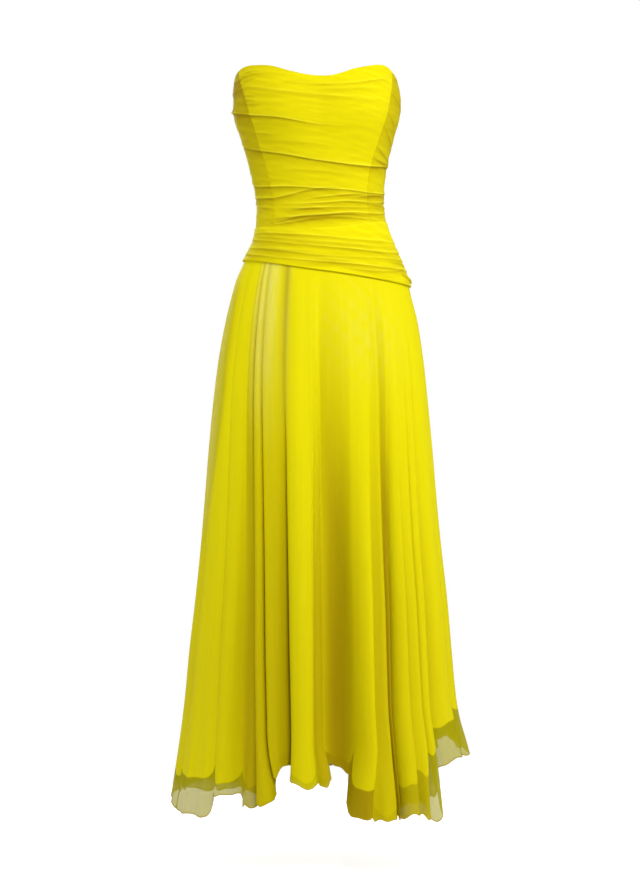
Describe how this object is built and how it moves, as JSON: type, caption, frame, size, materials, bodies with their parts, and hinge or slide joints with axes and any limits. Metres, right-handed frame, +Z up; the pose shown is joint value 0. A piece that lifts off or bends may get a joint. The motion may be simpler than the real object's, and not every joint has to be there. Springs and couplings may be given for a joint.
{
  "type": "strapless gown",
  "caption": "Strapless full-length gown with a draped bodice, a slanting draped hip yoke, a three-layer chiffon skirt with a handkerchief hem, and a back zip.",
  "frame": {"origin": "centre of the waist, where the bodice holds on the wearer", "axes": "+Z up, -Y the front of the gown, +X to the right of a viewer in front of it"},
  "size_m": [0.5276, 0.4741, 1.3083],
  "materials": {
    "bodice": "draped silk chiffon over a firm base",
    "yoke": "draped silk chiffon over a firm base",
    "overlay": "sheer silk chiffon",
    "underlay": "sheer silk chiffon",
    "lining": "matt silk lining",
    "zip": "lacquered to match the cloth"
  },
  "bodies": {
    "gown": {"bodice_front": "bodice", "bodice_side_left": "bodice", "bodice_side_right": "bodice", "bodice_back_left": "bodice", "bodice_back_right": "bodice", "yoke_front": "yoke", "yoke_back_left": "yoke", "yoke_back_right": "yoke", "skirt_overlay_front": "overlay", "skirt_overlay_back": "overlay", "skirt_underlay_front": "underlay", "skirt_underlay_back": "underlay", "skirt_lining_front": "lining", "skirt_lining_back": "lining", "zip_slider": "zip"},
    "pull": {"zip_pull": "zip"}
  },
  "joints": [
    {"name": "pull_swing", "type": "hinge", "parent": "gown", "child": "pull", "pos_m": [0, 0.10313, 0.174], "axis": [1, 0, 0], "range_deg": [0, 140]}
  ]
}
